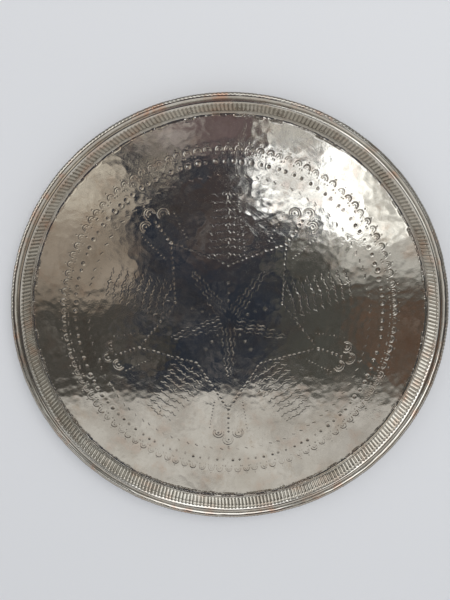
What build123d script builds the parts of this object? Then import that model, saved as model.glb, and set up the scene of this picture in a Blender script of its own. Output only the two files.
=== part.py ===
from build123d import *

import os
from math import atan2, degrees, sqrt, tan

# A round offering plate raised from one disc of tinned copper sheet, in millimetres.
# It lies flat, with +Z up and the origin under the middle of its floor, where it rests.
# Its whole border is the same sheet: a cove, a steep wall, a narrow shoulder, and the edge
# rolled over a wire ring. The wire lies level with the shoulder, so the roll stands proud of
# it above and below, and the edge of the sheet comes round to just under the shoulder.

# Overall sizes.
overall_diameter = 450.0
overall_height = 20.0
sheet_thickness = 1.0

# The border, from the floor outwards. Radii are those of the side that faces up and inwards.
wall_foot_inset = 14.8
cove_radius = 2.5
shoulder_width = 2.8
brow_radius = 2.0
groove_radius = 0.6

# The wired edge. The roll stops short of the shoulder's underside, which leaves a fine seam.
wire_diameter = 4.2
wire_clearance = 0.1
wire_butt_gap = 1.0
seam_angle = 40.0

# The roll, inside and outside, and the height of its crest fixes the wire's place.
roll_inside = wire_diameter / 2 + wire_clearance
roll_outside = roll_inside + sheet_thickness
bead_radius = overall_diameter / 2 - roll_outside
bead_height = overall_height - roll_outside
bead_centre = (bead_radius, bead_height)

# The shoulder's middle plane runs at the height of the wire's centre.
shoulder_top = bead_height + sheet_thickness / 2
shoulder_underside = shoulder_top - sheet_thickness

# The groove is the small bend that lifts the shoulder into the roll. Its arc and the roll's
# arc touch from outside, so their centres lie as far apart as the two radii added.
groove_rise = shoulder_top + groove_radius - bead_height
groove_reach = sqrt((roll_outside + groove_radius) ** 2 - groove_rise**2)
groove_centre = (bead_radius - groove_reach, bead_height + groove_rise)
contact_angle = degrees(atan2(groove_rise, -groove_reach))

# Where the straight lines of the border would meet if its bends were sharp. On the underside
# both corners lie further out, because the sheet keeps its thickness across the wall.
wall_foot = overall_diameter / 2 - wall_foot_inset
wall_top = groove_centre[0] - shoulder_width
wall_slope = atan2(shoulder_top - sheet_thickness, wall_top - wall_foot)
corner_shift = sheet_thickness * tan(wall_slope / 2)


# The sheet: its upper side is drawn from the middle of the floor out to the free edge inside
# the roll, its underside back again, and the section is turned round the plate's axis.
with BuildPart() as tray_sheet:
    with BuildSketch(Plane.XZ):
        with BuildLine():
            FilletPolyline(
                (0, sheet_thickness),
                (wall_foot, sheet_thickness),
                (wall_top, shoulder_top),
                (groove_centre[0], shoulder_top),
                radius=(cove_radius, brow_radius),
            )
            CenterArc(groove_centre, groove_radius, -90, contact_angle - 90)
            roll_face = CenterArc(bead_centre, roll_outside, contact_angle, seam_angle - 360)
            roll_bore = CenterArc(bead_centre, roll_inside, contact_angle, seam_angle - 360)
            Line(roll_face @ 1, roll_bore @ 1)
            CenterArc(
                groove_centre, groove_radius + sheet_thickness, -90, contact_angle - 90
            )
            FilletPolyline(
                (groove_centre[0], shoulder_underside),
                (wall_top + corner_shift, shoulder_underside),
                (wall_foot + corner_shift, 0),
                (0, 0),
                radius=(brow_radius - sheet_thickness, cove_radius + sheet_thickness),
            )
            Line((0, 0), (0, sheet_thickness))
        make_face()
    revolve(axis=Axis.Z)
tray_sheet.part.label = "tray_sheet"


# The wire: a ring that the roll closes on all round. Its two ends meet with a butt gap.
with BuildPart() as rim_wire:
    with BuildSketch(Plane.XZ):
        with Locations(bead_centre):
            Circle(wire_diameter / 2)
    revolve(axis=Axis.Z, revolution_arc=360 - degrees(wire_butt_gap / bead_radius))
rim_wire.part.label = "rim_wire"


os.makedirs("parts", exist_ok=True)
export_step(tray_sheet.part, "parts/tray_sheet.step")
export_step(rim_wire.part, "parts/rim_wire.step")

for piece in (tray_sheet, rim_wire):
    box = piece.part.bounding_box()
    print(piece.part.label, "volume", round(piece.part.volume), "box", box.min, box.max)
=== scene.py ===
from math import atan2, cos, pi, radians, sin, sqrt, tan

import bmesh
import bpy
import numpy as np
from mathutils import Matrix, Vector


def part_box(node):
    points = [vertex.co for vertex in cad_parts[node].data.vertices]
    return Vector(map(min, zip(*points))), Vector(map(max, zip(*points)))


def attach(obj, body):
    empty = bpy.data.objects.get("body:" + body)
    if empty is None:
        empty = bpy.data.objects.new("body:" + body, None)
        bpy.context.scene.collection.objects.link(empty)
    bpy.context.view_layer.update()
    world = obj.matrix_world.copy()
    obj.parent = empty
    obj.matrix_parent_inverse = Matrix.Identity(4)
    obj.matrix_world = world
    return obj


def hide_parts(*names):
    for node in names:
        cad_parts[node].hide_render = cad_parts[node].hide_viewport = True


# The offering plate: one disc of tinned copper sheet with its edge rolled over a wire. It stands
# on its flat floor at z = 0, in metres, with its axis on the z axis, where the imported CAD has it.
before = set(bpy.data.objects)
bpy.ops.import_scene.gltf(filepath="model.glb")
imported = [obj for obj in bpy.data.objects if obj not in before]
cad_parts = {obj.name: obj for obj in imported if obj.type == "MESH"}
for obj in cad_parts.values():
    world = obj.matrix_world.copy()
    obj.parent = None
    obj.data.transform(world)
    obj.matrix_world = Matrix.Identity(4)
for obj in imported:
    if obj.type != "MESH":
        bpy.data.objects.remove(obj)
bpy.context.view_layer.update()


# ---------------------------------------------------------------------------------------------
# The well: the flat middle of the tray, copper sheet a millimetre thick, tinned and wiped. It is
# planished on a stake and then chased from above with small blunt punches. A disc and six rings
# that butt together make it up here, so that each mesh stays light.
plate_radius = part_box("tray_sheet")[1].x
sheet_thickness = 0.001

# The hammer leaves a field of very shallow dishes, each placed and sunk a little by chance.
blow_spacing = 0.0080
blow_curvature = 1.0
blow_uneven = 0.000016
ridge_softness = 0.000006
blow_choice = np.random.RandomState(7)
blow_shift = blow_choice.uniform(-0.45, 0.45, (64, 64, 2))
blow_level = blow_choice.uniform(0, blow_uneven, (64, 64))


def planished(x, y):
    """Height of the hammered face: dishes of a few hundredths of a millimetre, softly ridged."""
    column, row = np.floor(x / blow_spacing).astype(int), np.floor(y / blow_spacing).astype(int)
    level = np.zeros_like(x)
    for i in (-1, 0, 1):
        for j in (-1, 0, 1):
            shift = blow_shift[(column + i) % 64, (row + j) % 64]
            away_x = x - (column + i + 0.5 + shift[:, 0]) * blow_spacing
            away_y = y - (row + j + 0.5 + shift[:, 1]) * blow_spacing
            dish = blow_curvature * (away_x**2 + away_y**2)
            dish += blow_level[(column + i) % 64, (row + j) % 64]
            level += np.exp(-dish / ridge_softness)
    return -ridge_softness * np.log(level + 1e-30)


# The sheet is never quite flat: broad waves, shorter ones mostly across, and small dents. Each
# has its heading, its length and its slope.
warp_choice = np.random.RandomState(12)
warp_waves = [
    (warp_choice.uniform(0, 2 * pi), warp_choice.uniform(0.03, 0.15), 0.0011)
    for _ in range(24)
] + [
    (warp_choice.normal(pi / 2, 1.0), warp_choice.uniform(0.006, 0.020), 0.0010)
    for _ in range(18)
] + [
    (warp_choice.uniform(0, 2 * pi), warp_choice.uniform(0.0036, 0.012), 0.0007)
    for _ in range(34)
]
warp_starts = warp_choice.uniform(0, 2 * pi, len(warp_waves))


def warped(x, y):
    """Height of the slow waves that hammering leaves in the whole sheet."""
    level = np.zeros_like(x)
    for (heading, length, slope), start in zip(warp_waves, warp_starts):
        turns = 2 * pi * (x * cos(heading) + y * sin(heading)) / length + start
        level += slope * length / (2 * pi) * np.sin(turns)
    return level


# The chasing is a five-pointed star with a stem beyond each point, leafy sprays between the
# points, and three rings of stamps. A mark is a punch's path, its half width and its depth.
marks = []
hand = np.random.RandomState(5)


def place(bearing, out, across=0.0):
    """The point at a distance from the middle along a bearing, and across it to the left."""
    return np.array(
        (
            out * cos(bearing) - across * sin(bearing),
            out * sin(bearing) + across * cos(bearing),
        )
    )


def stepped_round(count, slip):
    """Bearings stepped round the plate by eye, each up to a share of a step off its place."""
    for k in range(count):
        yield 2 * pi * (k + hand.uniform(-slip, slip)) / count


def strike(path, width, depth):
    """One mark, struck a little off its place, as by hand."""
    path = np.atleast_2d(path) + hand.normal(0, 0.0003, 2)
    marks.append((path, width / 2 * hand.uniform(0.85, 1.1), depth * hand.uniform(0.3, 1.0)))


def dot(point, width, depth=0.00013):
    """A round mark."""
    strike(point, width, depth)


def line(point, heading, length, width=0.0011, swing=0.0, depth=0.00011):
    """A stroke centred on the point along a heading, which swings from side to side if asked."""
    heading += hand.normal(0, 0.05)
    t = np.linspace(-0.5, 0.5, 9 if swing else 2)
    along, across = t * length, swing * np.sin(2 * pi * t)
    path = np.stack(
        (
            point[0] + along * cos(heading) - across * sin(heading),
            point[1] + along * sin(heading) + across * cos(heading),
        ),
        1,
    )
    strike(path, width, depth)


def arch(point, heading, radius, width=0.0011, spread=2.0, depth=0.00016):
    """A curved stamp that bulges along the heading and is open behind."""
    turn = heading + np.linspace(-spread, spread, 9)
    path = np.stack((point[0] + radius * np.cos(turn), point[1] + radius * np.sin(turn)), 1)
    strike(path, width, depth)


star_bearings = [radians(a) for a in (-90, -18, 54, 126, 198)]
spray_bearings = [radians(a) for a in (-54, 18, 90, 162, 234)]

# The star: five spikes of wavy strokes round the middle, with three dots between the spikes.
# Each row of a spike has its start and its count of strokes.
spike_rows = [(0.0086, 4), (0.0200, 4), (0.0310, 3), (0.0425, 3), (0.0530, 2)]
spike_columns = 0.0042
for bearing in star_bearings:
    for start, count in spike_rows:
        for k in range(count):
            across = (k - (count - 1) / 2) * spike_columns
            line(place(bearing, start + 0.0048, across), bearing, 0.0088, 0.0013, swing=0.0010)
    dot(place(bearing, 0.064), 0.0022)
for bearing in spray_bearings:
    for out, width in ((0.021, 0.0035), (0.030, 0.0040), (0.041, 0.0055)):
        dot(place(bearing, out), width)
dot(place(0, 0), 0.004)

# The star's outline: ten straight rows of dashes between the tips and the inner corners.
star_tip, star_corner, dash_pitch = 0.45 * plate_radius, 0.265 * plate_radius, 0.0055
for bearing in star_bearings:
    for side in (-1, 1):
        tip, corner = place(bearing, star_tip), place(bearing + side * pi / 5, star_corner)
        run = corner - tip
        count = round(np.hypot(*run) / dash_pitch)
        for k in range(count + 1):
            line(tip + run * k / count, atan2(run[1], run[0]), 0.0014, 0.0026, depth=0.0001)

# The stems: a row of dots beyond each tip, small dots beside it, and a bud of three arches.
for bearing in star_bearings:
    for out in np.arange(0.45, 0.575, 0.024):
        dot(place(bearing, out * plate_radius), 0.0034, 0.00016)
    for side in (-1, 1):
        for out in np.arange(0.42, 0.56, 0.017):
            dot(place(bearing + side * radians(9.5), out * plate_radius), 0.0016, 0.00014)
    for turn, out in ((0, 0.612), (-5, 0.578), (5, 0.578)):
        middle = place(bearing + radians(turn), out * plate_radius)
        arch(middle, bearing + radians(3 * turn), 0.0060)
        arch(middle, bearing + radians(3 * turn), 0.0038)
        dot(middle, 0.0026)
    dot(place(bearing, 0.655 * plate_radius), 0.003)

# The sprays: rows of short wavy strokes either side of a forked middle line.
spray_start, spray_pitch, spray_rows = 0.31 * plate_radius, 0.0076, 9
for bearing in spray_bearings:
    for k in range(spray_rows):
        out = spray_start + k * spray_pitch
        reach = 0.022 - 0.007 * k / (spray_rows - 1)
        strokes = 4 if k < 4 else 3
        for side in (-1, 1):
            line(place(bearing, out + 0.001, side * 0.0013), bearing - side * 0.8, 0.0034)
            for m in range(strokes):
                across = side * reach * (m + 0.75) / (strokes + 0.2)
                heading = bearing - side * pi / 2 + side * (0.35 - 0.3 * m)
                stroke_middle = place(bearing, out + 0.0015 - 0.0009 * m, across)
                line(stroke_middle, heading, 0.0058, 0.0010, swing=-side * 0.0006)
        if k % 2 == 0:
            line(place(bearing, out - 0.0022), bearing, 0.0028)

# The rings: slanted dashes, round dots, and arches with a dot at each foot and one on top.
for bearing in stepped_round(100, 0.15):
    line(place(bearing, 0.665 * plate_radius), bearing + 1.1, 0.0032, 0.0012)
for bearing in stepped_round(114, 0.12):
    dot(place(bearing, 0.725 * plate_radius), 0.0043 * hand.uniform(0.8, 1.1), 0.0002)
for bearing in stepped_round(108, 0.08):
    arch(place(bearing, 0.777 * plate_radius), bearing, 0.0034, 0.0012, 1.75, 0.0002)
    arch(place(bearing, 0.775 * plate_radius), bearing, 0.0016, 0.0009, 1.9, 0.00014)
    dot(place(bearing, 0.803 * plate_radius), 0.0020)
    for side in (-1, 1):
        dot(place(bearing, 0.760 * plate_radius, side * 0.0036), 0.0019)

# The crease at the foot of the wall is set all round with a blunt chisel, stroke by stroke, and
# its edge towards the well is left ragged.
crease_radius, crease_depth = 0.2082, 0.0004
for bearing in stepped_round(250, 0.3):
    width = hand.choice((0.0014, 0.0020, 0.0034), p=(0.5, 0.3, 0.2))
    stroke_middle = place(bearing, crease_radius - width * 0.3)
    line(stroke_middle, bearing + pi / 2, 0.0062, width, depth=crease_depth)


def swell(value, middle, size):
    """1 at the middle, fading smoothly to nothing at about twice the size either side of it."""
    return np.exp(-(((value - middle) / size) ** 2))


search_cell = 0.008


def chased(x, y):
    """Height of the chasing at each point, and how far down in a mark the point lies, 0 to 1."""
    column, row = np.floor(x / search_cell).astype(int), np.floor(y / search_cell).astype(int)
    key = column * 1000 + row
    order = np.argsort(key, kind="stable")
    keys, starts = np.unique(key[order], return_index=True)
    members = dict(zip(keys.tolist(), np.split(order, starts[1:])))
    height, sunk = np.zeros_like(x), np.zeros_like(x)
    for path, half_width, depth in marks:
        low = np.floor((path.min(0) - 2 * half_width) / search_cell).astype(int)
        high = np.floor((path.max(0) + 2 * half_width) / search_cell).astype(int)
        near = [
            members[c * 1000 + r]
            for c in range(low[0], high[0] + 1)
            for r in range(low[1], high[1] + 1)
            if c * 1000 + r in members
        ]
        if not near:
            continue
        near = np.concatenate(near)
        px, py = x[near], y[near]
        away = np.hypot(px - path[0, 0], py - path[0, 1])
        for a, b in zip(path[:-1], path[1:]):
            run = b - a
            t = ((px - a[0]) * run[0] + (py - a[1]) * run[1]) / (run @ run)
            t = np.clip(t, 0, 1)
            away = np.minimum(away, np.hypot(px - a[0] - t * run[0], py - a[1] - t * run[1]))
        away /= half_width
        bowl = np.clip(1 - away**2, 0, 1) ** 1.5
        height[near] += depth * (0.16 * swell(away, 1.3, 0.3) - bowl)
        sunk[near] = np.maximum(sunk[near], bowl * min(1, 0.35 + depth / crease_depth))
    return height, sunk


# The finish that the whole sheet shares: wiped tin with fine scratches, dark dirt in the marks,
# and a blush of copper where the tin has worn thin.
def add_node(tree, kind, **settings):
    """A node of the given kind with its plain settings."""
    node = tree.nodes.new(kind)
    for name, value in settings.items():
        setattr(node, name, value)
    return node


def feed(tree, sockets, parts):
    """Gives each socket its part: another node's output, a colour or a number."""
    for socket, part in zip(sockets, parts):
        if isinstance(part, bpy.types.NodeSocket):
            tree.links.new(part, socket)
        elif isinstance(part, tuple):
            socket.default_value = (*part, 1)
        else:
            socket.default_value = part


def mix_colour(tree, amount, first, second, blend="MIX"):
    """The first colour turned to the second by the amount."""
    node = add_node(tree, "ShaderNodeMix", data_type="RGBA", blend_type=blend)
    feed(tree, (node.inputs[0], node.inputs[6], node.inputs[7]), (amount, first, second))
    return node.outputs[2]


def maths(tree, operation, *parts):
    """A sum, a product or the like of its parts."""
    node = add_node(tree, "ShaderNodeMath", operation=operation)
    feed(tree, node.inputs, parts)
    return node.outputs[0]


def ramp(tree, value, low, high, start=0.0, end=1.0):
    """The value's stretch from low to high, eased into start to end."""
    node = add_node(tree, "ShaderNodeMapRange", interpolation_type="SMOOTHSTEP")
    feed(tree, node.inputs, (value, low, high, start, end))
    return node.outputs[0]


def noise(tree, position, scale, detail=3.0, roughness=0.55):
    """Cloudy noise, with so many clouds to the metre."""
    node = add_node(tree, "ShaderNodeTexNoise")
    node.inputs["Scale"].default_value = scale
    node.inputs["Detail"].default_value = detail
    node.inputs["Roughness"].default_value = roughness
    tree.links.new(position, node.inputs["Vector"])
    return node.outputs["Fac"]


def add_shares(tree, total, *shares):
    """The total with a share of each other value added, given as the value and its amount."""
    for value, amount in shares:
        total = maths(tree, "ADD", total, maths(tree, "MULTIPLY", value, amount))
    return total


skin = bpy.data.node_groups.new("tinned skin", "ShaderNodeTree")
for name in ("Marks", "Wear", "Soil_And_Shade"):
    skin.interface.new_socket(name, in_out="INPUT", socket_type="NodeSocketFloat")
skin.interface.new_socket("Color", in_out="OUTPUT", socket_type="NodeSocketColor")
skin.interface.new_socket("Roughness", in_out="OUTPUT", socket_type="NodeSocketFloat")
skin.interface.new_socket("Height", in_out="OUTPUT", socket_type="NodeSocketFloat")
given, result = skin.nodes.new("NodeGroupInput"), skin.nodes.new("NodeGroupOutput")
position = skin.nodes.new("ShaderNodeTexCoord").outputs["Object"]
clouds = noise(skin, position, 22, 4)
flecks = noise(skin, position, 260, 4, 0.65)
spots = maths(skin, "MULTIPLY", ramp(skin, flecks, 0.58, 0.75), 0.35)

# Its colour: cloudy tin, with stains, copper where it is worn, dirt in the sunk places, and dirt
# and painted shade from the soil-and-shade layer.
tin_colour = (0.73, 0.72, 0.69)
tin_shade = (0.60, 0.58, 0.54)
stain_colour = (0.50, 0.41, 0.32)
copper_colour = (0.74, 0.45, 0.33)
groove_colour = (0.24, 0.165, 0.12)
dirt_and_shade_colour = (0.10, 0.085, 0.06)
colour = mix_colour(skin, ramp(skin, clouds, 0.35, 0.7), tin_colour, tin_shade)
stains = ramp(skin, noise(skin, position, 31, 5, 0.7), 0.52, 0.75)
colour = mix_colour(skin, maths(skin, "MULTIPLY", stains, 0.55), colour, stain_colour)
blush = ramp(skin, noise(skin, position, 45, 5, 0.6), 0.5, 0.72)
bare = maths(skin, "MULTIPLY", blush, given.outputs["Wear"])
colour = mix_colour(skin, bare, colour, copper_colour)
in_grooves = maths(skin, "POWER", given.outputs["Marks"], 1.6)
colour = mix_colour(skin, maths(skin, "MULTIPLY", in_grooves, 0.9), colour, groove_colour)
# A near-black colour follows the piece's soil-and-shade layer, which holds dirt and also painted
# shade, and a few dark specks.
patchy = ramp(skin, flecks, 0.2, 0.6, 0.6, 1.0)
dirt_and_shade = maths(skin, "MULTIPLY", given.outputs["Soil_And_Shade"], patchy)
dirt_and_shade = maths(skin, "MAXIMUM", dirt_and_shade, maths(skin, "MULTIPLY", spots, 0.3))
colour = mix_colour(skin, dirt_and_shade, colour, dirt_and_shade_colour)
skin.links.new(colour, result.inputs["Color"])

# Its gloss: close to a mirror, and duller in the clouds, the spots, the marks and where the
# soil-and-shade layer is high.
rough = add_shares(
    skin,
    ramp(skin, clouds, 0.3, 0.75, 0.045, 0.12),
    (spots, 0.2),
    (given.outputs["Marks"], 0.3),
    (given.outputs["Soil_And_Shade"], 0.3),
)
skin.links.new(rough, result.inputs["Roughness"])

# Its texture: a fine grain, pits in patches, and the long scratches of wiping, which run three
# ways across the plate.
scratches = 0.0
for heading in (0.4, 1.5, 2.5):
    turned = add_node(skin, "ShaderNodeMapping", vector_type="TEXTURE")
    turned.inputs["Rotation"].default_value = (0, 0, heading)
    turned.inputs["Scale"].default_value = (0.05, 0.0009, 1)
    skin.links.new(position, turned.inputs["Vector"])
    one_way = ramp(skin, noise(skin, turned.outputs["Vector"], 1, 1), 0.62, 0.7)
    scratches = maths(skin, "MAXIMUM", scratches, one_way)
pitted = ramp(skin, noise(skin, position, 17, 3, 0.6), 0.48, 0.68)
pits = noise(skin, position, 520, 3, 0.6)
pits = maths(skin, "MULTIPLY", pits, maths(skin, "ADD", pitted, 0.18))
grain = noise(skin, position, 1800, 2)
height = add_shares(skin, pits, (grain, 0.06), (scratches, -0.07))
skin.links.new(height, result.inputs["Height"])


def metal(name):
    """A new metal finish, with its nodes and its shader."""
    made = bpy.data.materials.new(name)
    made.use_nodes = True
    shader = made.node_tree.nodes["Principled BSDF"]
    shader.inputs["Metallic"].default_value = 1.0
    return made, made.node_tree, shader


def add_bump(tree, shader, height, strength, distance):
    """Bump on the shader from a height."""
    bump = add_node(tree, "ShaderNodeBump")
    bump.inputs["Strength"].default_value = strength
    bump.inputs["Distance"].default_value = distance
    tree.links.new(height, bump.inputs["Height"])
    tree.links.new(bump.outputs["Normal"], shader.inputs["Normal"])


def tinned(name, wear, *layers):
    """The tinned finish. Each layer of the piece feeds the skin's input of the same name."""
    made, tree, shader = metal(name)
    group = add_node(tree, "ShaderNodeGroup", node_tree=skin)
    group.inputs["Wear"].default_value = wear
    for layer in layers:
        painted = add_node(tree, "ShaderNodeAttribute", attribute_name=layer)
        tree.links.new(painted.outputs["Fac"], group.inputs[layer.title()])
    tree.links.new(group.outputs["Color"], shader.inputs["Base Color"])
    tree.links.new(group.outputs["Roughness"], shader.inputs["Roughness"])
    add_bump(tree, shader, group.outputs["Height"], 0.6, 0.00006)
    return made


# The disc and the rings are made flat, and then the points of both their faces are moved.
def finish_piece(name, bm, material, crisp=radians(40)):
    """Makes a mesh object of the piece, smooth with crisp corners, riding on the plate."""
    bmesh.ops.recalc_face_normals(bm, faces=bm.faces)
    for edge in bm.edges:
        edge.smooth = edge.calc_face_angle(0) < crisp
    for face in bm.faces:
        face.smooth = True
    mesh = bpy.data.meshes.new(name)
    bm.to_mesh(mesh)
    bm.free()
    mesh.materials.append(material)
    piece = bpy.data.objects.new(name, mesh)
    bpy.context.collection.objects.link(piece)
    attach(piece, "root")
    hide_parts("tray_sheet")
    return piece


def read_points(piece):
    """The places of the piece's points, one row each."""
    points = np.empty(len(piece.data.vertices) * 3)
    piece.data.vertices.foreach_get("co", points)
    return points.reshape(-1, 3)


def write_points(piece, points):
    """Moves the piece's points."""
    piece.data.vertices.foreach_set("co", points.ravel())
    piece.data.update()


def write_layer(piece, name, values):
    """Paints a layer on the piece for its finish to read, one value for each point."""
    layer = piece.data.attributes.new(name, "FLOAT", "POINT")
    layer.data.foreach_set("value", values.astype(np.float32))


def spin_section(section, steps, cuts=()):
    """A closed section cut finer where asked and turned once round the plate's axis. It is spun
    through a 32nd of the turn, and the wedge is then doubled five times."""
    bm = bmesh.new()
    verts = [bm.verts.new((r, 0, z)) for r, z in section]
    edges = [bm.edges.new(ends) for ends in zip(verts, verts[1:] + verts[:1])]
    for side, count in cuts:
        bmesh.ops.subdivide_edges(bm, edges=[edges[side]], cuts=count)
    angle = 2 * pi / 32
    bmesh.ops.spin(
        bm,
        geom=bm.verts[:] + bm.edges[:],
        axis=(0, 0, 1),
        angle=angle,
        steps=max(1, round(steps / 32)),
    )
    for _ in range(5):
        copy = bmesh.ops.duplicate(bm, geom=bm.verts[:] + bm.edges[:] + bm.faces[:])
        verts = [part for part in copy["geom"] if isinstance(part, bmesh.types.BMVert)]
        bmesh.ops.rotate(bm, verts=verts, matrix=Matrix.Rotation(angle, 3, "Z"))
        angle *= 2
    bmesh.ops.remove_doubles(bm, verts=bm.verts, dist=1e-6)
    return bm


def hammer_and_chase(piece):
    """Moves the points of a flat piece to the hammered, chased surface."""
    points = read_points(piece)
    x, y = points[:, 0], points[:, 1]
    upper = points[:, 2] > sheet_thickness / 2
    height, sunk = chased(x, y)
    height *= upper
    points[:, 2] += planished(x, y) + warped(x, y) + height
    write_points(piece, points)
    write_layer(piece, "marks", sunk * upper)


well_tin = tinned("well tin", 0.16, "marks")
well_cell = 0.0005

# The disc is a square grid drawn out to a circle, so that it has no crowded middle.
middle_radius = 0.066
middle_steps = round(middle_radius * sqrt(pi) / (well_cell * 1.12))
bm = bmesh.new()
bmesh.ops.create_grid(bm, x_segments=middle_steps, y_segments=middle_steps, size=1)
for vert in bm.verts:
    a, b = vert.co.x, vert.co.y
    if abs(a) > abs(b):
        out, turn = a, pi / 4 * b / a
    else:
        out, turn = b, pi / 2 - pi / 4 * (a / b if b else 0)
    vert.co = (middle_radius * out * cos(turn), middle_radius * out * sin(turn), sheet_thickness)
under = bmesh.ops.extrude_face_region(bm, geom=bm.faces[:], use_keep_orig=True)
for vert in under["geom"]:
    if isinstance(vert, bmesh.types.BMVert):
        vert.co.z = 0
well_middle = finish_piece("well_middle", bm, well_tin)
hammer_and_chase(well_middle)

# The rings are fine on top, where the chasing is, and coarse across their underside. The last
# ring, where there is only the crease, has larger cells.
ring_edges = (middle_radius, 0.098, 0.122, 0.144, 0.163, 0.181, 0.2062)
last_ring_coarser, under_cell = 1.6, 0.004
for k, (inner, outer) in enumerate(zip(ring_edges[:-1], ring_edges[1:]), 1):
    cell = well_cell * (last_ring_coarser if outer == ring_edges[-1] else 1.0)
    bm = spin_section(
        [(inner, sheet_thickness), (outer, sheet_thickness), (outer, 0), (inner, 0)],
        2 * pi * outer / cell,
        cuts=(
            (0, round((outer - inner) / cell) - 1),
            (2, round((outer - inner) / under_cell) - 1),
        ),
    )
    hammer_and_chase(finish_piece(f"well_ring_{k}", bm, well_tin))


# ---------------------------------------------------------------------------------------------
# The fluted wall and its shoulder: the same sheet, bent up steeply round the well. It is beaten
# over a toothed stake into upright ribs, each with a small rounded bead at its head.
plate_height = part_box("tray_sheet")[1].z
wall_foot = plate_radius - 0.0148
wall_top_inset = 0.0028
cove_radius, brow_radius, groove_radius = 0.0025, 0.0020, 0.0006
roll_inside, roll_outside = 0.0022, 0.0032
wire_centre = (plate_radius - roll_outside, plate_height - roll_outside)
shoulder_top = wire_centre[1] + sheet_thickness / 2
groove_rise = shoulder_top + groove_radius - wire_centre[1]
groove_reach = sqrt((roll_outside + groove_radius) ** 2 - groove_rise**2)
groove_centre = (wire_centre[0] - groove_reach, wire_centre[1] + groove_rise)
wall_top = groove_centre[0] - wall_top_inset
wall_slope = atan2(shoulder_top - sheet_thickness, wall_top - wall_foot)


def bend(centre, radius, start, turn, steps):
    """The points of a bend in the section, from an angle through a turn."""
    angles = start + turn * np.linspace(0, 1, steps + 1)
    return [(centre[0] + radius * cos(a), centre[1] + radius * sin(a)) for a in angles]


def straight(first, last, steps):
    """The points between two ends of a straight run, without the ends."""
    run = (last[0] - first[0], last[1] - first[1])
    return [
        (first[0] + run[0] * k / steps, first[1] + run[1] * k / steps) for k in range(1, steps)
    ]


def border_side(lower, shift, cove, brow, steps):
    """One side of the border's section, from the well to the groove, with the steps in its cove,
    its wall, its brow and its shoulder."""
    foot = (wall_foot + shift, lower)
    head = (wall_top + shift, lower + shoulder_top - sheet_thickness)
    reach = tan(wall_slope / 2)
    cove_centre = (foot[0] - cove * reach, lower + cove)
    cove_bend = bend(cove_centre, cove, -pi / 2, wall_slope, steps[0])
    brow_centre = (head[0] + brow * reach, head[1] - brow)
    brow_bend = bend(brow_centre, brow, pi / 2 + wall_slope, -wall_slope, steps[2])
    end = (groove_centre[0], head[1])
    return (
        [(ring_edges[-1], lower)]
        + cove_bend
        + straight(cove_bend[-1], brow_bend[0], steps[1])
        + brow_bend
        + straight(brow_bend[-1], end, steps[3])
        + [end]
    )


flute_count, flute_steps = 336, 7
inner_side = border_side(sheet_thickness, 0.0, cove_radius, brow_radius, (6, 13, 4, 2))
outer_side = border_side(
    0.0,
    sheet_thickness * tan(wall_slope / 2),
    cove_radius + sheet_thickness,
    brow_radius - sheet_thickness,
    (2, 6, 2, 1),
)
bm = spin_section(inner_side + outer_side[::-1], flute_count * flute_steps)
wall_tin = tinned("fluted wall tin", 0.35, "marks", "soil_and_shade")
fluted_wall = finish_piece("fluted_wall", bm, wall_tin, crisp=radians(60))


def eased(value, low, high):
    """0 below low, 1 above high, and smooth between."""
    t = np.clip((value - low) / (high - low), 0, 1)
    return t * t * (3 - 2 * t)


def round_the_axis(points):
    """Each point's distance from the plate's axis, its bearing and its height."""
    x, y = points[:, 0], points[:, 1]
    return np.hypot(x, y), np.arctan2(y, x), points[:, 2].copy()


def from_the_axis(reach, turn, z):
    """The points at these distances from the plate's axis, bearings and heights."""
    return np.stack((reach * np.cos(turn), reach * np.sin(turn), z), 1)


def shared_out(turn, count):
    """Which of the equal steps round the plate each bearing is in, and how far through it."""
    steps = (turn / (2 * pi) % 1.0) * count
    step = np.floor(steps + 1e-4).astype(int)
    return step % count, steps - step


def wavering(turn, *waves):
    """The slow unevenness of hand work round the rim, from waves of a size, count and start."""
    return sum(size * np.sin(count * turn + start) for size, count, start in waves)


# Each flute is struck on its own, so its place, its strength and its lean vary.
beat = np.random.RandomState(21)
flute_shift = np.convolve(beat.normal(0, 0.35, flute_count + 4), np.ones(5) / 5, "valid")
flute_strength = beat.uniform(0.75, 1.1, flute_count)
flute_tilt = np.convolve(beat.normal(0.6, 2.0, flute_count + 12), np.ones(13) / 13, "valid")
flute_tilt *= 0.25

# The flutes fade in above the cove and out below the brow. Their depth is a share of a
# millimetre, with a narrow waist under each bead.
flute_depth, flute_gap_depth = 0.00095, 0.55
flute_foot, flute_head = (0.0014, 0.0036), (0.0148, 0.0166)
wall_begins, wall_ends = (0.001, 0.0045), (0.0155, 0.0172)
wall_middle, wall_rise = 0.008, 0.016
points = read_points(fluted_wall)
reach, turn, z = round_the_axis(points)
flute, part = shared_out(turn, flute_count)
rib = np.sqrt(np.abs(np.sin(pi * part)))
body = eased(z, *flute_foot) * (1 - eased(z, *flute_head))
bead, waist = swell(z, 0.0146, 0.0011), swell(z, 0.0126, 0.0006)
lift = flute_strength[flute] * rib * (body + 0.45 * bead - 0.35 * waist * body)
rise = flute_depth * (lift - flute_gap_depth * body)
steep = eased(z, *wall_begins) * (1 - eased(z, *wall_ends))
uneven = wavering(turn, (0.00025, 5, 1), (0.0002, 13, 2), (0.00012, 31, 0))
lean = flute_shift[flute] * 0.35 + flute_tilt[flute] * (z - wall_middle) / wall_rise
points = from_the_axis(
    reach - sin(wall_slope) * rise + uneven * steep,
    turn + lean / flute_count * 2 * pi * body,
    z + cos(wall_slope) * rise,
)
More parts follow.
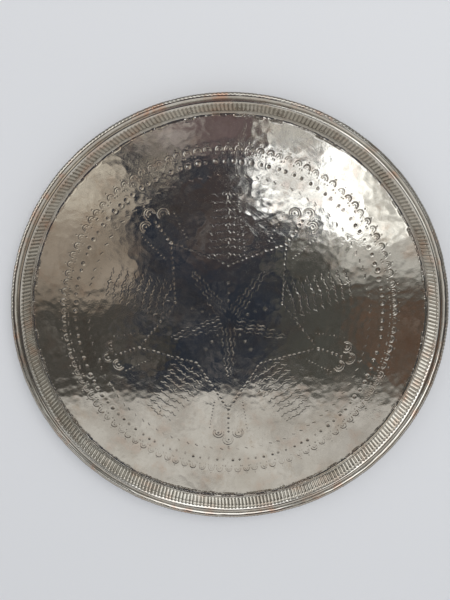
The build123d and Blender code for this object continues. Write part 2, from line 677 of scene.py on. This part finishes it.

# The foot joins the hammered well, and the crease leaves a small ledge between them. The
# colour is darkened in the gaps between the flutes and along the ledge.
foot_blend, crease_blend, ledge_radius = (0.2070, 0.2092), (0.2084, 0.2094), 0.2094
crease_edge, darkening_edge, ledge_height = 0.2096, 0.2085, 0.00035
x, y, upper = points[:, 0], points[:, 1], z > sheet_thickness / 2
teeth, sunk = chased(x, y)
points[:, 2] += (1 - eased(reach, *foot_blend)) * (planished(x, y) + warped(x, y))
points[:, 2] += teeth * (1 - eased(reach, *crease_blend)) * upper
on_ledge = (z > sheet_thickness * 0.9) * (z < sheet_thickness * 2)
points[:, 2] += ledge_height * swell(reach, ledge_radius, 0.0006) * on_ledge
soil_and_shade = (1 - rib) ** 0.8 * body * 0.95
soil_and_shade += 0.5 * swell(z, 0.0016, 0.0009) * (reach > darkening_edge)
write_points(fluted_wall, points)
write_layer(fluted_wall, "marks", sunk * upper * (reach < crease_edge))
write_layer(fluted_wall, "soil_and_shade", np.clip(soil_and_shade, 0, 1))


# ---------------------------------------------------------------------------------------------
# The rolled edge: the sheet's edge, wrapped over the iron wire to stiffen the rim and closed to a
# fine seam under the shoulder. Its outer half is nicked all round with a blunt chisel, and much
# of its tin has worn to copper.
notch_count, notch_steps = 360, 6
seam_turn = radians(320)
contact = atan2(groove_rise, -groove_reach)
groove = bend(groove_centre, groove_radius, -pi / 2, contact - pi / 2, 4)
groove_under_radius = groove_radius + sheet_thickness
groove_under = bend(groove_centre, groove_under_radius, -pi / 2, contact - pi / 2, 3)
roll_face = bend(wire_centre, roll_outside, contact, -seam_turn, 26)
roll_bore = bend(wire_centre, roll_inside, contact, -seam_turn, 9)
section = groove + roll_face[1:] + roll_bore[:0:-1] + groove_under[::-1]
bm = spin_section(section, notch_count * notch_steps)
edge_tin = tinned("rolled edge tin", 0.85, "marks", "soil_and_shade")
rolled_edge = finish_piece("rolled_edge", bm, edge_tin, crisp=radians(60))

# The nicks and the lumps are only on the roll's face, not in its bore or on the groove.
notch_depth = 0.00042
face_from, face_to = 0.0027, 0.00335
points = read_points(rolled_edge)
reach, turn, z = round_the_axis(points)
around, up = reach - wire_centre[0], z - wire_centre[1]
angle, girth = np.arctan2(up, around), np.hypot(around, up)
on_face, on_roll = girth > face_from, girth < face_to
notch, part = shared_out(turn, notch_count)
valley = swell(np.minimum(part, 1 - part), 0, 0.2)
outer_half = (1 - eased(np.abs(angle - radians(8)), radians(52), radians(80))) * on_face
notch_strength = beat.uniform(0.5, 1.15, notch_count)[notch]
lumps = wavering(turn, (0.00006, 37, 1), (0.00004, 61, 0.7), (0.00003, 103, 0))
new_girth = girth - notch_depth * valley * notch_strength * outer_half
new_girth += lumps * on_face * (np.abs(angle) < 2.4)
notch_slip = (beat.normal(0, 0.12, notch_count)[notch] + 0.5 * angle) / notch_count
moved = from_the_axis(
    wire_centre[0] + new_girth * np.cos(angle),
    turn + notch_slip * outer_half,
    wire_centre[1] + new_girth * np.sin(angle),
)
points = np.where(on_roll[:, None], moved, points)
# The soil-and-shade layer darkens the roll's outer half as dirt and as painted shade, a little more
# in the nicks. It puts painted shade in the groove beside the roll and along the line where the
# roll meets it.
soil_and_shade = 0.25 * valley * outer_half + 0.70 * outer_half + 0.9 * (1 - on_roll)
soil_and_shade = np.maximum(soil_and_shade, 0.8 * swell(angle, contact, 0.18))
write_points(rolled_edge, points)
write_layer(rolled_edge, "marks", np.zeros(len(points)))
write_layer(rolled_edge, "soil_and_shade", np.clip(soil_and_shade, 0, 1))


# ---------------------------------------------------------------------------------------------
# The wire inside the roll: a ring of soft iron rod, butted at its ends and held by the roll
# alone. It is dark and scaled, and shows only through the seam under the shoulder.
scale_colours = (0.16, 0.15, 0.14), (0.30, 0.28, 0.26)
rust_colour = (0.22, 0.10, 0.05)
iron, tree, shader = metal("scaled iron wire")
position = tree.nodes.new("ShaderNodeTexCoord").outputs["Object"]
scale = noise(tree, position, 700, 5, 0.6)
rust = noise(tree, position, 90, 4)
colour = mix_colour(tree, ramp(tree, scale, 0.35, 0.65), *scale_colours)
colour = mix_colour(tree, ramp(tree, rust, 0.5, 0.7), colour, rust_colour)
tree.links.new(colour, shader.inputs["Base Color"])
tree.links.new(ramp(tree, rust, 0.4, 0.7, 0.4, 0.8), shader.inputs["Roughness"])
add_bump(tree, shader, scale, 0.5, 0.0001)
rim_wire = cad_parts["rim_wire"]
for slot in rim_wire.material_slots:
    slot.material = iron


# ---------------------------------------------------------------------------------------------
# The studio: a plain pale floor, one large soft light, and a surround of pale panels and dark
# screens overhead for the tinned face to mirror. None of it is part of the plate.
floor_size, floor_gap = 40, 0.0004
bm = bmesh.new()
bmesh.ops.create_grid(bm, x_segments=1, y_segments=1, size=floor_size)
bmesh.ops.translate(bm, verts=bm.verts, vec=(0, 0, -floor_gap))
mesh = bpy.data.meshes.new("studio_floor")
bm.to_mesh(mesh)
bm.free()
floor_paint = bpy.data.materials.new("floor paint")
floor_paint.use_nodes = True
shader = floor_paint.node_tree.nodes["Principled BSDF"]
shader.inputs["Base Color"].default_value = (0.73, 0.74, 0.76, 1)
shader.inputs["Roughness"].default_value = 0.75
shader.inputs["Specular IOR Level"].default_value = 0.2
mesh.materials.append(floor_paint)
studio_floor = bpy.data.objects.new("studio_floor", mesh)
bpy.context.collection.objects.link(studio_floor)

softbox = bpy.data.lights.new("softbox", "AREA")
softbox.shape = "DISK"
softbox.size = 1.6
softbox.energy = 22
softbox.color = (1.0, 0.99, 0.97)
softbox_stand = bpy.data.objects.new("softbox", softbox)
softbox_stand.location = (0.9, 1.3, 2.0)
softbox_stand.rotation_euler = (radians(-33), radians(24), 0)
softbox_stand.visible_glossy = False
bpy.context.collection.objects.link(softbox_stand)

world = bpy.data.worlds.new("studio surround")
bpy.context.scene.world = world
world.use_nodes = True
tree = world.node_tree
tree.nodes.clear()
heading = add_node(tree, "ShaderNodeSeparateXYZ")
heading_vector = add_node(tree, "ShaderNodeTexCoord").outputs["Generated"]
tree.links.new(heading_vector, heading.inputs[0])

# The room has brownish walls with a lit band half way up, and windows. Each window has the way
# it lies, half its width in degrees, and its light.
windows = [
    ((0.10, 0.80, 0.62), 24, (1.9, 1.9, 1.85)),
    ((-0.55, 0.42, 0.70), 11, (2.4, 2.4, 2.35)),
    ((-0.90, 0.20, 0.42), 18, (2.3, 2.3, 2.25)),
    ((0.92, 0.30, 0.40), 13, (0.9, 0.9, 0.85)),
    ((0.55, -0.65, 0.62), 10, (0.55, 0.50, 0.45)),
]
wall_light, band_light = (0.11, 0.105, 0.09), (1.05, 1.04, 1.0)
band = maths(
    tree,
    "MULTIPLY",
    ramp(tree, heading.outputs["Z"], 0.33, 0.46),
    ramp(tree, heading.outputs["Z"], 0.62, 0.76, 1.0, 0.0),
)
walls = noise(tree, heading_vector, 3.1, 2, 0.5)
band = maths(tree, "MULTIPLY", band, ramp(tree, walls, 0.40, 0.58, 0.12, 1.0))
light = mix_colour(tree, band, wall_light, band_light)
for way, width, colour in windows:
    facing = add_node(tree, "ShaderNodeVectorMath", operation="DOT_PRODUCT")
    tree.links.new(heading_vector, facing.inputs[0])
    facing.inputs[1].default_value = Vector(way).normalized()
    inner, outer = cos(radians(width * 0.8)), cos(radians(width * 1.2))
    light = mix_colour(tree, ramp(tree, facing.outputs["Value"], outer, inner), light, colour)
far_walls = ramp(tree, noise(tree, heading_vector, 4.3, 3, 0.55), 0.40, 0.58)
horizon = mix_colour(tree, far_walls, (0.15, 0.15, 0.145), (0.62, 0.62, 0.60))
light = mix_colour(tree, ramp(tree, heading.outputs["Z"], 0.10, 0.36), horizon, light)

# Panels and screens hang over the plate. Each has its left, right, low and high edges, as slopes
# from straight up along x and along y, the softness of its edges, and its light.
panels = [
    ((-0.60, -0.155, -0.23, 0.14), 0.03, (0.37, 0.31, 0.25)),
    ((-0.60, -0.22, -0.02, 0.40), 0.06, (0.95, 0.88, 0.74)),
    ((0.11, 0.60, -0.42, -0.13), 0.02, (0.085, 0.085, 0.075)),
    ((0.20, 0.42, -0.17, 0.06), 0.03, (0.62, 0.60, 0.55)),
    ((0.105, 0.36, -0.09, 0.15), 0.02, (1.40, 1.37, 1.26)),
    ((0.11, 0.265, -0.08, 0.10), 0.015, (2.4, 2.4, 2.35)),
    ((-0.19, 0.11, -0.42, 0.09), 0.015, (0.030, 0.037, 0.052)),
    ((-0.09, 0.02, -0.14, 0.04), 0.05, (0.085, 0.066, 0.062)),
    ((-0.60, -0.19, -0.42, -0.22), 0.02, (0.07, 0.066, 0.058)),
    ((-0.14, 0.07, 0.08, 0.45), 0.02, (0.17, 0.125, 0.125)),
    ((-0.16, -0.11, 0.09, 0.16), 0.015, (0.5, 0.45, 0.42)),
    ((0.33, 0.42, -0.40, -0.22), 0.03, (0.15, 0.09, 0.06)),
    ((-9.0, 9.0, -9.0, -0.425), 0.008, (0.68, 0.65, 0.60)),
]
soft_panel = bpy.data.node_groups.new("soft panel", "ShaderNodeTree")
panel_settings = ("Left", "Right", "Low", "High", "Softness")
for name in ("Across", "Along", *panel_settings):
    soft_panel.interface.new_socket(name, in_out="INPUT", socket_type="NodeSocketFloat")
soft_panel.interface.new_socket("Mask", in_out="OUTPUT", socket_type="NodeSocketFloat")
given = soft_panel.nodes.new("NodeGroupInput")
result = soft_panel.nodes.new("NodeGroupOutput")
inside = 1.0
for value, low, high in (("Across", "Left", "Right"), ("Along", "Low", "High")):
    for edge, sign in ((low, 1.0), (high, -1.0)):
        past = maths(soft_panel, "SUBTRACT", given.outputs[value], given.outputs[edge])
        past = maths(soft_panel, "DIVIDE", past, given.outputs["Softness"])
        past = ramp(soft_panel, maths(soft_panel, "MULTIPLY", past, sign), -1.0, 1.0)
        inside = maths(soft_panel, "MULTIPLY", past, inside)
soft_panel.links.new(inside, result.inputs["Mask"])

steepness = maths(tree, "MAXIMUM", heading.outputs["Z"], 0.03)
across = maths(tree, "DIVIDE", heading.outputs["X"], steepness)
along = maths(tree, "DIVIDE", heading.outputs["Y"], steepness)
ragged = noise(tree, heading_vector, 9, 4, 0.6)
across = maths(tree, "ADD", across, ramp(tree, ragged, 0.25, 0.75, -0.10, 0.10))
for edges, softness, colour in panels:
    panel = add_node(tree, "ShaderNodeGroup", node_tree=soft_panel)
    tree.links.new(across, panel.inputs["Across"])
    tree.links.new(along, panel.inputs["Along"])
    for name, value in zip(panel_settings, (*edges, softness)):
        panel.inputs[name].default_value = value
    light = mix_colour(tree, panel.outputs["Mask"], light, colour)

# Small clutter and dim patches break the panels up. The backdrop behind the plate and the light
# on matt things are an even pale grey instead.
clutter = ramp(tree, noise(tree, heading_vector, 26, 3, 0.65), 0.54, 0.66)
light = mix_colour(tree, maths(tree, "MULTIPLY", clutter, 0.55), light, (0.30, 0.27, 0.24))
dim = ramp(tree, noise(tree, heading_vector, 15, 3, 0.65), 0.45, 0.68, 0.0, 0.6)
light = mix_colour(tree, dim, light, (0.45, 0.44, 0.44), "MULTIPLY")
paths = add_node(tree, "ShaderNodeLightPath")
plain = maths(tree, "MAXIMUM", paths.outputs["Is Camera Ray"], paths.outputs["Is Diffuse Ray"])
light = mix_colour(tree, plain, light, (0.64, 0.65, 0.67))
surround = add_node(tree, "ShaderNodeBackground")
tree.links.new(light, surround.inputs["Color"])
tree.links.new(surround.outputs[0], add_node(tree, "ShaderNodeOutputWorld").inputs["Surface"])

camera = bpy.data.cameras.new("camera")
camera.lens = 30
camera_stand = bpy.data.objects.new("camera", camera)
camera_stand.location = (0.0035, 0.1336, 0.5164)
camera_stand.rotation_euler = (radians(-12.233), radians(0.814), 0)
bpy.context.collection.objects.link(camera_stand)
bpy.context.scene.camera = camera_stand
bpy.context.scene.view_settings.view_transform = "Standard"
